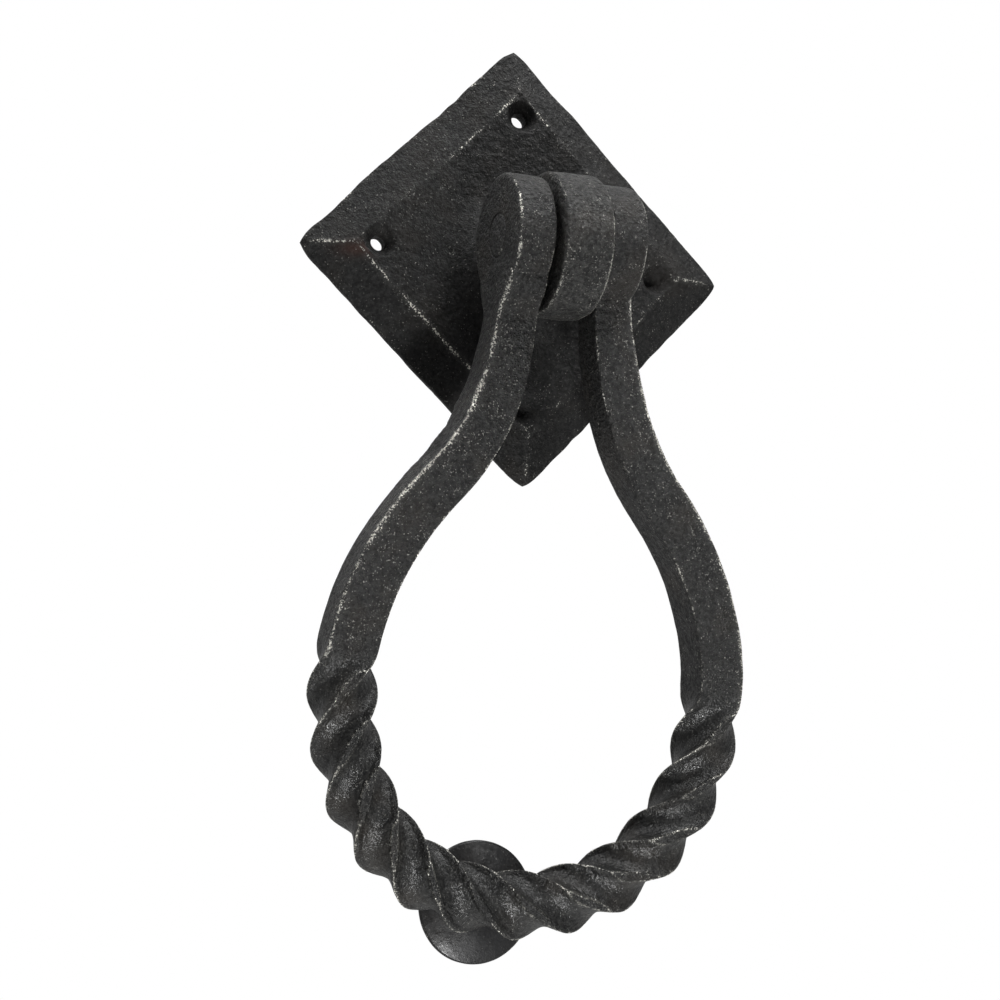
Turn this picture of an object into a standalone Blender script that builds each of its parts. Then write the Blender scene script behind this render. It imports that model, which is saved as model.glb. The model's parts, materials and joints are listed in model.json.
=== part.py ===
"""A forged iron door knocker: a twisted ring that swings in a knuckle on a diamond back plate,
and the domed stud that the ring strikes.

Metres, +Z up. The door's face is the plane Y = 0 and the knocker stands out of it towards -Y.
The origin is the middle of the back plate's rear face.
"""

from math import cos, pi, radians, sin, sqrt

import bmesh
import bpy
from mathutils import Vector
from mathutils.geometry import interpolate_bezier

MM = 0.001
GAP = 0.3 * MM  # between pieces that touch or turn on each other
OVERRUN = 5 * MM  # how far a cutter runs past the face it cuts
MERGE = 0.00001

# Back plate: a square on its corner, bevelled from a thin edge up to a flat field.
PLATE_SIDE = 90 * MM
PLATE_EDGE = 2 * MM
PLATE_FIELD = 6 * MM
BEVEL_INSET = 10.6 * MM
BOSS_HEIGHT = 12 * MM
BOSS_TOP_RADIUS = 15 * MM
BOSS_FOOT_RADIUS = 25 * MM
SCREW_HOLE_RADIUS = 2.5 * MM
SCREW_SINK_RADIUS = 4.7 * MM
SCREW_SINK_DEPTH = 2.5 * MM
SCREW_CIRCLE_RADIUS = 42.4 * MM
SCREW_ANGLES = (radians(90), radians(177.7), radians(270), radians(-2.3))

# Hinge: the ring's two eyes on either side of the knuckle, all on one pin along X.
HINGE_Y = -32.7 * MM
HINGE_Z = -2.5 * MM
LEFT_EYE = (-19.1 * MM, -9.0 * MM)
KNUCKLE = (-7.5 * MM, 6.0 * MM)
KNUCKLE_MIDDLE = sum(KNUCKLE) / 2
RIGHT_EYE = (6.4 * MM, 17.2 * MM)
EYE_RADIUS = 16.2 * MM
KNUCKLE_RADIUS = 19.1 * MM
KNUCKLE_DROP = 1.2 * MM  # the knuckle is forged a little heavier below the pin
PIN_RADIUS = 4.75 * MM
PIN_HEAD_RADIUS = 5.8 * MM
PIN_HEAD_DEPTH = 2.2 * MM
EDGE_ROUND = 0.8 * MM

# The knuckle's neck stands on the boss, and its tenon is riveted over behind the plate.
NECK_TOP = 9.5 * MM
NECK_BOTTOM = -14.5 * MM
NECK_INSET = 0.2 * MM
TENON_RADIUS = 5.5 * MM
RIVET_RADIUS = 8.5 * MM
RIVET_DEPTH = 3 * MM

# Ring: one square bar. Its bow is a symmetrical drop that leans to the left below the eyes.
BAR_WIDTH = 12.4 * MM
BAR_CHAMFER = 0.6 * MM
EYE_END_SCALE = 0.79
TWIST_SWELL = 0.05  # twisting the hot bar shortens and thickens it by this share
FULL_BAR_BELOW = 45 * MM
BOW_LEAN = radians(3)
BOW_SHIFT = 1.4 * MM
EYE_REACH = 29 * MM  # each of these is the length of a Bezier handle
SHOULDER = Vector((31.1 * MM, -66.0 * MM))
SHOULDER_SLOPE = radians(41)
SHOULDER_REACH_UP = 22 * MM
SHOULDER_REACH_DOWN = 21 * MM
BOW_WIDEST = Vector((52.6 * MM, -118.5 * MM))
WIDEST_REACH_UP = 19.5 * MM
WIDEST_REACH_DOWN = 30.5 * MM
BOW_BOTTOM = Vector((0, -174.3 * MM))
BOTTOM_REACH = 32 * MM
REST_TILT = radians(6.56)
PATH_STEPS = 40
TWIST_STEPS_PER_TURN = 32
TWIST_TURNS = 3
TWIST_BEFORE_BOTTOM = 95 * MM
TWIST_AFTER_BOTTOM = 88 * MM
TWIST_EASE = 9 * MM
TWIST_CROWDING = radians(20)  # the twist runs ahead of even by this much half way along
ARM_STEP = 5 * MM

# Strike stud: a low dome with a square spike that drives into the door.
STUD_X = -15.6 * MM
STUD_Z = -175.5 * MM
STUD_RADIUS = 16 * MM
STUD_RIM = 1.8 * MM
STUD_HEIGHT = 4.1 * MM
SPIKE_WIDTH = 5 * MM
SPIKE_TIP = 1 * MM
SPIKE_LENGTH = 26 * MM

TURN_STEPS = 64
SINK_STEPS = 32

FACING_OUT = (pi / 2, 0, 0)  # local Z points out of the door, local Y up
ALONG_X = (0, pi / 2, 0)


def clear_scene():
    for old in list(bpy.data.objects):
        bpy.data.objects.remove(old, do_unlink=True)


def new_collection(name):
    collection = bpy.data.collections.new(name)
    bpy.context.scene.collection.children.link(collection)
    return collection


def new_object(name, data, collection):
    made = bpy.data.objects.new(name, data)
    collection.objects.link(made)
    return made


def tool_object(name, data):
    """A piece that only cuts or joins: drawn as a wire and left out of renders."""
    made = new_object(name, data, TOOLS)
    made.display_type = "WIRE"
    made.hide_render = True
    return made


def iron(name, colour, roughness, metallic):
    material = bpy.data.materials.new(name)
    material.use_nodes = True
    shader = material.node_tree.nodes["Principled BSDF"]
    shader.inputs["Base Color"].default_value = (*colour, 1)
    shader.inputs["Roughness"].default_value = roughness
    shader.inputs["Metallic"].default_value = metallic
    return material


def profile_mesh(name, points):
    """An open outline of (radius, height) points, for a Screw modifier to turn about Z."""
    mesh = bpy.data.meshes.new(name)
    vertices = [(radius, 0, height) for radius, height in points]
    edges = [(i, i + 1) for i in range(len(points) - 1)]
    mesh.from_pydata(vertices, edges, [])
    return mesh


def add_turning(obj, steps):
    screw = obj.modifiers.new("Turning", "SCREW")
    screw.axis = "Z"
    screw.steps = steps
    screw.render_steps = steps
    screw.use_merge_vertices = True
    screw.merge_threshold = MERGE


def add_boolean(obj, other, operation):
    boolean = obj.modifiers.new(f"{operation.title()} {other.name}", "BOOLEAN")
    boolean.object = other
    boolean.operation = operation
    boolean.solver = "EXACT"


def add_bevel(obj, width):
    bevel = obj.modifiers.new("Edges", "BEVEL")
    bevel.width = width
    bevel.segments = 2
    bevel.limit_method = "ANGLE"
    bevel.angle_limit = radians(40)


def turned_tool(name, points, steps, location, rotation):
    made = tool_object(name, profile_mesh(name, points))
    add_turning(made, steps)
    made.location = location
    made.rotation_euler = rotation
    return made


def smooth_step(t):
    t = min(max(t, 0), 1)
    return t * t * (3 - 2 * t)


def bore_outline(start, end):
    """A round cutter for the pin, from start to end along X."""
    radius = PIN_RADIUS + GAP
    return [(0, end), (radius, end), (radius, start), (0, start)]


# ---- back plate ----


def plate_blank():
    """The bevelled diamond, lying on its back: a thin square slab under a four-sided frustum."""
    half_diagonal = PLATE_SIDE / sqrt(2)
    field_half_diagonal = (PLATE_SIDE - 2 * BEVEL_INSET) / sqrt(2)
    shape = bmesh.new()
    bmesh.ops.create_cone(
        shape,
        cap_ends=True,
        segments=4,
        radius1=half_diagonal,
        radius2=field_half_diagonal,
        depth=PLATE_FIELD - PLATE_EDGE,
    )
    bmesh.ops.translate(shape, verts=shape.verts, vec=(0, 0, (PLATE_FIELD + PLATE_EDGE) / 2))
    shape.normal_update()
    underside = min(shape.faces, key=lambda face: face.calc_center_median().z)
    extruded = bmesh.ops.extrude_face_region(shape, geom=[underside])
    lowered = [item for item in extruded["geom"] if isinstance(item, bmesh.types.BMVert)]
    bmesh.ops.translate(shape, verts=lowered, vec=(0, 0, -PLATE_EDGE))
    bmesh.ops.delete(shape, geom=[underside], context="FACES")
    bmesh.ops.recalc_face_normals(shape, faces=shape.faces)
    mesh = bpy.data.meshes.new("back_plate")
    shape.to_mesh(mesh)
    shape.free()
    return mesh


def boss_outline():
    """The swept-up boss: a flat top that curves out to the plate's field."""
    points = [(0, BOSS_HEIGHT), (BOSS_TOP_RADIUS, BOSS_HEIGHT)]
    steps = 8
    for i in range(1, steps + 1):
        part = i / steps
        radius = BOSS_TOP_RADIUS + part * (BOSS_FOOT_RADIUS - BOSS_TOP_RADIUS)
        points.append((radius, PLATE_FIELD + (1 - part) ** 2 * (BOSS_HEIGHT - PLATE_FIELD)))
    points.append((BOSS_FOOT_RADIUS, PLATE_EDGE))
    points.append((0, PLATE_EDGE))
    return points


def tenon_hole_outline():
    """The round hole for the knuckle's tenon, opened out at the back for its riveted end."""
    hole = TENON_RADIUS + GAP
    sink = RIVET_RADIUS + GAP
    return [
        (0, BOSS_HEIGHT + OVERRUN),
        (hole, BOSS_HEIGHT + OVERRUN),
        (hole, RIVET_DEPTH),
        (sink, 0),
        (sink, -OVERRUN),
        (0, -OVERRUN),
    ]


def screw_hole_outline():
    return [
        (0, PLATE_FIELD + OVERRUN),
        (SCREW_SINK_RADIUS, PLATE_FIELD + OVERRUN),
        (SCREW_SINK_RADIUS, PLATE_FIELD),
        (SCREW_HOLE_RADIUS, PLATE_FIELD - SCREW_SINK_DEPTH),
        (SCREW_HOLE_RADIUS, -OVERRUN),
        (0, -OVERRUN),
    ]


def make_back_plate():
    plate = new_object("back_plate", plate_blank(), PARTS)
    plate.rotation_euler = FACING_OUT
    on_hinge_line = (KNUCKLE_MIDDLE, 0, HINGE_Z)
    boss = turned_tool("boss", boss_outline(), TURN_STEPS, on_hinge_line, FACING_OUT)
    add_boolean(plate, boss, "UNION")
    hole = turned_tool("tenon_hole", tenon_hole_outline(), TURN_STEPS, on_hinge_line, FACING_OUT)
    add_boolean(plate, hole, "DIFFERENCE")
    for number, angle in enumerate(SCREW_ANGLES):
        place = (SCREW_CIRCLE_RADIUS * cos(angle), 0, SCREW_CIRCLE_RADIUS * sin(angle))
        name = f"screw_hole_{number}"
        cutter = turned_tool(name, screw_hole_outline(), SINK_STEPS, place, FACING_OUT)
        add_boolean(plate, cutter, "DIFFERENCE")
    plate.data.materials.append(iron("plate_iron", (0.030, 0.030, 0.030), 0.62, 0.6))
    return plate


# ---- hinge lug ----


def knuckle_outline():
    """Half of the knuckle's section, turned about the pin: a short drum with rounded rims."""
    start, end = KNUCKLE
    inner = KNUCKLE_RADIUS - EDGE_ROUND
    points = [(0, end), (inner, end)]
    for i in range(1, 4):
        angle = i * pi / 6
        points.append((inner + EDGE_ROUND * sin(angle), end - EDGE_ROUND * (1 - cos(angle))))
    for i in range(4):
        angle = i * pi / 6
        points.append((inner + EDGE_ROUND * cos(angle), start + EDGE_ROUND * (1 - sin(angle))))
    points.append((0, start))
    return points


def neck_box():
    """The flat neck from inside the knuckle back to the boss."""
    start, end = KNUCKLE
    width = end - start - 2 * NECK_INSET
    depth = -HINGE_Y - BOSS_HEIGHT - GAP
    shape = bmesh.new()
    bmesh.ops.create_cube(shape, size=1)
    bmesh.ops.scale(shape, verts=shape.verts, vec=(width, NECK_TOP - NECK_BOTTOM, depth))
    mesh = bpy.data.meshes.new("neck")
    shape.to_mesh(mesh)
    shape.free()
    neck = tool_object("neck", mesh)
    middle_y = HINGE_Y + depth / 2
    neck.location = (KNUCKLE_MIDDLE, middle_y, HINGE_Z + (NECK_TOP + NECK_BOTTOM) / 2)
    neck.rotation_euler = FACING_OUT
    add_bevel(neck, EDGE_ROUND)
    return neck


def tenon_outline():
    """The tenon from inside the neck to the door, with its riveted end spread in the plate."""
    return [
        (0, BOSS_HEIGHT + OVERRUN),
        (TENON_RADIUS, BOSS_HEIGHT + OVERRUN),
        (TENON_RADIUS, RIVET_DEPTH),
        (RIVET_RADIUS, 0),
        (0, 0),
    ]


def make_hinge_lug():
    mesh = profile_mesh("hinge_lug", knuckle_outline())
    lug = new_object("hinge_lug", mesh, PARTS)
    lug.location = (0, HINGE_Y, HINGE_Z - KNUCKLE_DROP)
    lug.rotation_euler = ALONG_X
    add_turning(lug, TURN_STEPS)
    add_boolean(lug, neck_box(), "UNION")
    place = (KNUCKLE_MIDDLE, 0, HINGE_Z)
    tenon = turned_tool("tenon", tenon_outline(), TURN_STEPS, place, FACING_OUT)
    add_boolean(lug, tenon, "UNION")
    start, end = KNUCKLE
    cut = bore_outline(start - OVERRUN, end + OVERRUN)
    bore = turned_tool("knuckle_bore", cut, SINK_STEPS, (0, HINGE_Y, HINGE_Z), ALONG_X)
    add_boolean(lug, bore, "DIFFERENCE")
    lug.data.materials.append(iron("lug_iron", (0.034, 0.034, 0.034), 0.5, 0.7))
    return lug


# ---- pivot pin ----


def pin_outline():
    """A plain shank whose ends are spread into the eyes."""
    left, right = LEFT_EYE[0], RIGHT_EYE[1]
    return [
        (0, right),
        (PIN_HEAD_RADIUS, right),
        (PIN_RADIUS, right - PIN_HEAD_DEPTH),
        (PIN_RADIUS, left + PIN_HEAD_DEPTH),
        (PIN_HEAD_RADIUS, left),
        (0, left),
    ]


def make_pivot_pin(pivot):
    pin = new_object("pivot_pin", profile_mesh("pivot_pin", pin_outline()), PARTS)
    pin.parent = pivot
    pin.rotation_euler = ALONG_X
    add_turning(pin, SINK_STEPS)
    pin.data.materials.append(iron("pin_iron", (0.042, 0.041, 0.040), 0.45, 0.75))
    return pin


# ---- knocker ring ----


def bow_to_ring(point):
    """A point of the upright drop, leaned about the hinge and shifted along it."""
    x = point.x * cos(BOW_LEAN) + point.y * sin(BOW_LEAN) + BOW_SHIFT
    y = -point.x * sin(BOW_LEAN) + point.y * cos(BOW_LEAN)
    return Vector((x, y))


def bow_knots():
    """(point, handle before, handle after) from the left eye round the bow to the right eye."""
    along = Vector((sin(SHOULDER_SLOPE), -cos(SHOULDER_SLOPE)))
    up = Vector((0, 1))
    across = Vector((BOTTOM_REACH, 0))
    right = [
        (SHOULDER, SHOULDER - SHOULDER_REACH_UP * along, SHOULDER + SHOULDER_REACH_DOWN * along),
        (BOW_WIDEST, BOW_WIDEST + WIDEST_REACH_UP * up, BOW_WIDEST - WIDEST_REACH_DOWN * up),
    ]
    flip = Vector((-1, 1))
    left = [tuple(point * flip for point in knot) for knot in right]
    rising = [(knot[0], knot[2], knot[1]) for knot in reversed(right)]
    bottom = (BOW_BOTTOM, BOW_BOTTOM - across, BOW_BOTTOM + across)
    knots = [tuple(bow_to_ring(point) for point in knot) for knot in [*left, bottom, *rising]]
    down = Vector((0, -EYE_REACH))
    left_eye = Vector((sum(LEFT_EYE) / 2, 0))
    right_eye = Vector((sum(RIGHT_EYE) / 2, 0))
    return [(left_eye, left_eye, left_eye + down), *knots, (right_eye, right_eye + down, right_eye)]


def bow_path():
    """Closely spaced points along the bar's centre line, and the distance along it of each."""
    knots = bow_knots()
    points = []
    for (start, _, leaving), (end, arriving, _) in zip(knots, knots[1:]):
        points.extend(interpolate_bezier(start, leaving, arriving, end, PATH_STEPS)[:-1])
    points.append(knots[-1][0])
    travelled = [0]
    for before, after in zip(points, points[1:]):
        travelled.append(travelled[-1] + (after - before).length)
    return points, travelled


def point_at(points, travelled, distance):
    for i in range(len(points) - 1):
        if distance <= travelled[i + 1]:
            part = (distance - travelled[i]) / (travelled[i + 1] - travelled[i])
            return points[i].lerp(points[i + 1], part)
    return points[-1]


def twist_at(along):
    """How far the bar has turned at this distance from the twist's start, easing in and out."""
    length = TWIST_BEFORE_BOTTOM + TWIST_AFTER_BOTTOM
    along = min(max(along, 0), length)

    def eased(distance):
        part = min(distance / TWIST_EASE, 1)
        return TWIST_EASE * (part**3 - part**4 / 2) + max(distance - TWIST_EASE, 0)

    half = length / 2
    if along <= half:
        share = eased(along) / (2 * eased(half))
    else:
        share = 1 - eased(length - along) / (2 * eased(half))
    return 2 * pi * TWIST_TURNS * share + TWIST_CROWDING * sin(pi * share)


def bar_scale(along, height):
    """The section's size: drawn down towards the eyes, and swollen where it is twisted."""
    drawn = EYE_END_SCALE + (1 - EYE_END_SCALE) * smooth_step(-height / FULL_BAR_BELOW)
    twisted = TWIST_BEFORE_BOTTOM + TWIST_AFTER_BOTTOM
    inside = min(along, twisted - along)
    return drawn + TWIST_SWELL * smooth_step(inside / TWIST_EASE)


def bar_stations(travelled):
    """Distances along the bar: close together where it twists, further apart on the arms."""
    bottom = travelled[len(travelled) // 2]
    start = bottom - TWIST_BEFORE_BOTTOM
    end = bottom + TWIST_AFTER_BOTTOM
    twist_count = TWIST_TURNS * TWIST_STEPS_PER_TURN
    left_count = round(start / ARM_STEP)
    right_count = round((travelled[-1] - end) / ARM_STEP)
    stations = [start * i / left_count for i in range(left_count)]
    stations += [start + (end - start) * i / twist_count for i in range(twist_count)]
    stations += [end + (travelled[-1] - end) * i / right_count for i in range(right_count + 1)]
    return stations, start


def bar_section():
    """The square bar's section, with its corners taken off."""
    half = BAR_WIDTH / 2
    short = half - BAR_CHAMFER
    corners = [
        (half, short), (short, half), (-short, half), (-half, short),
        (-half, -short), (-short, -half), (short, -half), (half, -short),
    ]
    curve = bpy.data.curves.new("bar_section", "CURVE")
    spline = curve.splines.new("POLY")
    spline.points.add(len(corners) - 1)
    for point, (x, y) in zip(spline.points, corners):
        point.co = (x, y, 0, 1)
    spline.use_cyclic_u = True
    return tool_object("bar_section", curve)


def bar_curve():
    """The bar as a planar curve whose tilt carries the twist."""
    points, travelled = bow_path()
    stations, start = bar_stations(travelled)
    curve = bpy.data.curves.new("bar", "CURVE")
    curve.dimensions = "3D"
    curve.twist_mode = "Z_UP"
    curve.bevel_mode = "OBJECT"
    curve.bevel_object = bar_section()
    curve.use_fill_caps = True
    spline = curve.splines.new("POLY")
    spline.points.add(len(stations) - 1)
    for knot, distance in zip(spline.points, stations):
        place = point_at(points, travelled, distance)
        knot.co = (place.x, place.y, 0, 1)
        knot.tilt = twist_at(distance - start)
        knot.radius = bar_scale(distance - start, place.y)
    return tool_object("bar", curve)


def mesh_from_curve(curve_object, name):
    """The curve's solid as a mesh, with its end caps joined to its sides."""
    bpy.context.view_layer.update()
    evaluated = curve_object.evaluated_get(bpy.context.evaluated_depsgraph_get())
    mesh = bpy.data.meshes.new_from_object(evaluated)
    mesh.name = name
    shape = bmesh.new()
    shape.from_mesh(mesh)
    bmesh.ops.remove_doubles(shape, verts=shape.verts, dist=MERGE)
    bmesh.ops.recalc_face_normals(shape, faces=shape.faces)
    shape.to_mesh(mesh)
    shape.free()
    bpy.data.objects.remove(curve_object, do_unlink=True)
    return mesh


def eye_outline(span):
    """Half of an eye's section, turned about the pin: a disc with eased rims."""
    start, end = span
    inner = EYE_RADIUS - EDGE_ROUND
    return [
        (0, end),
        (inner, end),
        (EYE_RADIUS, end - EDGE_ROUND),
        (EYE_RADIUS, start + EDGE_ROUND),
        (inner, start),
        (0, start),
    ]


def ring_bore_outline():
    """The pin's bore through both eyes, opened out at the outer faces for its spread ends."""
    left, right = LEFT_EYE[0], RIGHT_EYE[1]
    shank = PIN_RADIUS + GAP
    head = PIN_HEAD_RADIUS + GAP
    return [
        (0, right + OVERRUN),
        (head, right + OVERRUN),
        (head, right),
        (shank, right - PIN_HEAD_DEPTH),
        (shank, left + PIN_HEAD_DEPTH),
        (head, left),
        (head, left - OVERRUN),
        (0, left - OVERRUN),
    ]


def make_knocker_ring(pivot):
    ring = new_object("knocker_ring", mesh_from_curve(bar_curve(), "knocker_ring"), PARTS)
    ring.parent = pivot
    ring.rotation_euler = FACING_OUT
    for name, span in (("left_eye", LEFT_EYE), ("right_eye", RIGHT_EYE)):
        eye = turned_tool(name, eye_outline(span), TURN_STEPS, (0, 0, 0), ALONG_X)
        eye.parent = pivot
        add_boolean(ring, eye, "UNION")
    bore = turned_tool("ring_bore", ring_bore_outline(), SINK_STEPS, (0, 0, 0), ALONG_X)
    bore.parent = pivot
    add_boolean(ring, bore, "DIFFERENCE")
    ring.data.materials.append(iron("ring_iron", (0.028, 0.028, 0.029), 0.5, 0.7))
    return ring


# ---- strike stud ----


def dome_outline():
    """A low dome on a thin rim, flat behind."""
    points = []
    steps = 10
    for i in range(steps + 1):
        part = i / steps
        points.append((STUD_RADIUS * part, STUD_RIM + (STUD_HEIGHT - STUD_RIM) * (1 - part**2)))
    points.append((STUD_RADIUS, 0))
    points.append((0, 0))
    return points


def make_spike():
    """The square spike behind the dome, tapering to its tip inside the door."""
    buried = STUD_RIM / 2
    length = SPIKE_LENGTH + buried
    shape = bmesh.new()
    bmesh.ops.create_cone(
        shape,
        cap_ends=True,
        segments=4,
        radius1=SPIKE_TIP / sqrt(2),
        radius2=SPIKE_WIDTH / sqrt(2),
        depth=length,
    )
    mesh = bpy.data.meshes.new("spike")
    shape.to_mesh(mesh)
    shape.free()
    spike = tool_object("spike", mesh)
    spike.location = (STUD_X, length / 2 - buried, STUD_Z)
    spike.rotation_euler = FACING_OUT
    return spike


def make_strike_stud():
    stud = new_object("strike_stud", profile_mesh("strike_stud", dome_outline()), PARTS)
    stud.location = (STUD_X, 0, STUD_Z)
    stud.rotation_euler = FACING_OUT
    add_turning(stud, TURN_STEPS)
    add_boolean(stud, make_spike(), "UNION")
    stud.data.materials.append(iron("stud_iron", (0.030, 0.030, 0.031), 0.4, 0.7))
    return stud


def make_pivot():
    """The hinge's empty: the ring and its pin turn about its local X."""
    pivot = new_object("ring_pivot", None, PARTS)
    pivot.location = (0, HINGE_Y, HINGE_Z)
    pivot.rotation_euler = (REST_TILT, 0, 0)
    return pivot


clear_scene()
PARTS = new_collection("door_knocker")
TOOLS = new_collection("cutters")
hinge = make_pivot()
make_back_plate()
make_hinge_lug()
make_pivot_pin(hinge)
make_knocker_ring(hinge)
make_strike_stud()
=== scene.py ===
"""The look of the forged iron door knocker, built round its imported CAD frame.

Shapes are worked out in millimetres, in the frame's own axes: +Z up, the door's face at Y = 0 and
the knocker standing out along -Y. They are put into metres when each mesh is made.
"""

import json
from math import cos, pi, radians, sin, sqrt

import bmesh
import bpy
import numpy as np
from mathutils import Matrix, Vector
from mathutils.geometry import interpolate_bezier


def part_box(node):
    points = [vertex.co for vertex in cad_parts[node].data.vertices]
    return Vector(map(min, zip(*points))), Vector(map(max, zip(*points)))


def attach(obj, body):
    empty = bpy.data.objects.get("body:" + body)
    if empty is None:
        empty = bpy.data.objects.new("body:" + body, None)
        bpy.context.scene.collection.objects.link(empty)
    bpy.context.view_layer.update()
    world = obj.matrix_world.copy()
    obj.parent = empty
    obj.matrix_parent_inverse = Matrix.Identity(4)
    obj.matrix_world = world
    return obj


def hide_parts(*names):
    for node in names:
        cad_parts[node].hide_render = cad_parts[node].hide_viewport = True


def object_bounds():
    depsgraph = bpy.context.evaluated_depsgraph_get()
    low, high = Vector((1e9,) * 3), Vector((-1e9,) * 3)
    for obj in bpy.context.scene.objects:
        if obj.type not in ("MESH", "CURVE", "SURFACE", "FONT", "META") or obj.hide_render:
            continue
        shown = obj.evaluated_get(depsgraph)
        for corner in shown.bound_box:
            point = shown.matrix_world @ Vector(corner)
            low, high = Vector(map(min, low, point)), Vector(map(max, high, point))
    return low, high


MM = 0.001

# Back plate: its edge, bevel and field, and how the boss sweeps up from the field. On the plate, u runs
# square to its sides towards the lower right and v towards the upper right.
PLATE_EDGE = 2.0
PLATE_FIELD = 6.0
BEVEL_INSET = 10.6
BOSS_HEIGHT = 12.0
BOSS_TOP_RADIUS = 15.0
BOSS_FOOT_RADIUS = 25.0
PLATE_STEP = 0.55
PLATE_SPREAD = (1.2, 0.5)
PLATE_WAVE = 0.6
PLATE_RIPPLE = 0.16
CORNER_BLUNT = 0.95
BLUNT_REACH = 7.0

# Screw holes: top, left, bottom and right. A hole leans sideways by so much for each millimetre of depth.
SCREW_ANGLES = (90, 177.7, 270, -2.3)
SCREW_HOLE_RADII = (2.3, 2.1, 1.6, 1.6)
SCREW_HOLE_LEANS = (0.05, 0.0, -0.6, -0.6)
SCREW_SINK_RADIUS = 4.7
SCREW_SINK_DEPTH = 2.5
SCREW_CIRCLE_RADIUS = 42.4
SCREW_RIM_WOBBLE = 0.05

# Hinge: each eye's and the knuckle's span along the pin, then their rims, the pin, the neck and the tenon.
# KNUCKLE_UNDERSIDE, like SCAR_SIDE and LOW_ARM further on, says where a change starts and where it is full.
LEFT_EYE = (-19.1, -9.0)
KNUCKLE = (-7.5, 6.0)
RIGHT_EYE = (6.4, 17.2)
EYE_RADIUS = 16.2
KNUCKLE_RADIUS = 19.1
KNUCKLE_DROP = 1.2
KNUCKLE_FLAT = 18.4
KNUCKLE_UNDERSIDE = (-6, -12)
PIN_RADIUS = 4.75
PIN_HEAD_RADIUS = 5.8
PIN_HEAD_DEPTH = 2.2
NECK_TOP = 9.5
NECK_BOTTOM = -14.5
NECK_INSET = 0.2
NECK_START = 8.0
RIM_ROUND = 1.25
RIM_ROUND_INSET = 0.41 * RIM_ROUND
TENON_RADIUS = 5.5
RIVET_RADIUS = 8.5
RIVET_DEPTH = 3.0
HOLE_GAP = 0.3
HEAD_GAP = 0.12

# Ring: the square bar and the line that it follows, in the ring's own plane.
BAR_WIDTH = 12.4
EYE_END_SCALE = 0.79
TWIST_SWELL = 0.05
FULL_BAR_BELOW = 45.0
BOW_LEAN = radians(3)
BOW_SHIFT = 1.4
EYE_REACH = 29.0
SHOULDER = Vector((31.1, -66.0))
SHOULDER_SLOPE = radians(41)
SHOULDER_REACH_UP = 22.0
SHOULDER_REACH_DOWN = 21.0
BOW_WIDEST = Vector((52.6, -118.5))
WIDEST_REACH_UP = 19.5
WIDEST_REACH_DOWN = 30.5
BOW_BOTTOM = Vector((0, -174.3))
BOTTOM_REACH = 32.0
REST_TILT = radians(6.56)
TWIST_TURNS = 3
TWIST_BEFORE_BOTTOM = 97.0
TWIST_AFTER_BOTTOM = 90.0
TWIST_EASE = 9.0
TWIST_CROWDING = radians(20)
BAR_TOP_BELOW_PIN = 8.0
BAR_STEP = 0.55

# What the hammer did to the bar. The flats are beaten on the twist, so far out of its centre line, and
# run out by FLAT_RELEASE along the arms. Flares and swells are shares of the bar's own width.
FRONT_FLAT = 7.55
BACK_FLAT = 8.5
FLAT_WAVE = 0.5
FLAT_CROWN = 0.12
FLAT_RELEASE = 8.0
VALLEY_DEPTH = 0.6
ARRIS_EASE = 0.035
LEFT_FLARE = 1.25
RIGHT_FLARE = 0.2
FLUSH_SWELL = 0.022
ARM_SWELL = 0.06
LOW_ARM = (-45, -80)

# The bruised place on the left arm's outer side. SCAR_DEPTH is how much harder the hammer works there.
SCAR_HEIGHT = -52.0
SCAR_SPREAD = 11.0
SCAR_DEPTH = 5.5
SCAR_SIDE = (-18, -23)

# Pin's beaten ends, and stud.
PIN_CROWN = 0.35
PIN_FLAT_RADIUS = 3.0
STUD_RADIUS = 16.0
STUD_RIM = 1.8
STUD_HEIGHT = 4.1
SPIKE_WIDTH = 5.0
SPIKE_TIP = 1.0

# How finely shapes are divided, and how far cutters and the tenon run past the surface they go through.
TURNED_STEP = 0.6
BLOCK_STEP = 0.8
PIN_STEP = 0.5
STUD_STEP = 0.7
SPIKE_STEP = 1.0
KNUCKLE_SIDES = 260
EYE_SIDES = 220
PIN_SIDES = 96
STUD_SIDES = 150
SCREW_SIDES = 56
TENON_SIDES = 72
OVERRUN = 5

# Bright wear along arrises, from 0 to 1: the plate's within LINE_REACH of its lines, the knuckle's on the
# left and right, and the bar's at each corner of its section. NO_EDGE is the distance to an arris that
# isn't there.
LINE_REACH = 1.5
LEFT_CORNER_WEAR = 0.74
RIGHT_CORNER_WEAR = 0.55
TOP_CORNER_WEAR = 0.45
PLATE_EDGE_WEAR = 0.42
CREASE_WEAR = 0.5
LOWER_LEFT_WEAR = 0.78
UPPER_LEFT_WEAR = 0.42
KNUCKLE_WEAR = (0.42, 0.8)
KNUCKLE_WORN_BEYOND = 12
EYE_WEAR = 0.55
EYE_WORN_BEYOND = 10
TWIST_WEAR = 0.8
BAR_WORN_BELOW = -10
ARRIS_WEAR = (0.62, 0.4, 0.4, 0.95)
WIDE_BAND_WEAR = 0.85
PIN_WEAR = 0.62
STUD_WEAR = 0.42
NO_EDGE = 9.0

# A faint patch of rust beside the plate's left corner, given by its middle and half sizes.
RUST_PLACE = (-49.0, -1.0)
RUST_SIZE = (5.0, 2.0)

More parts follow.
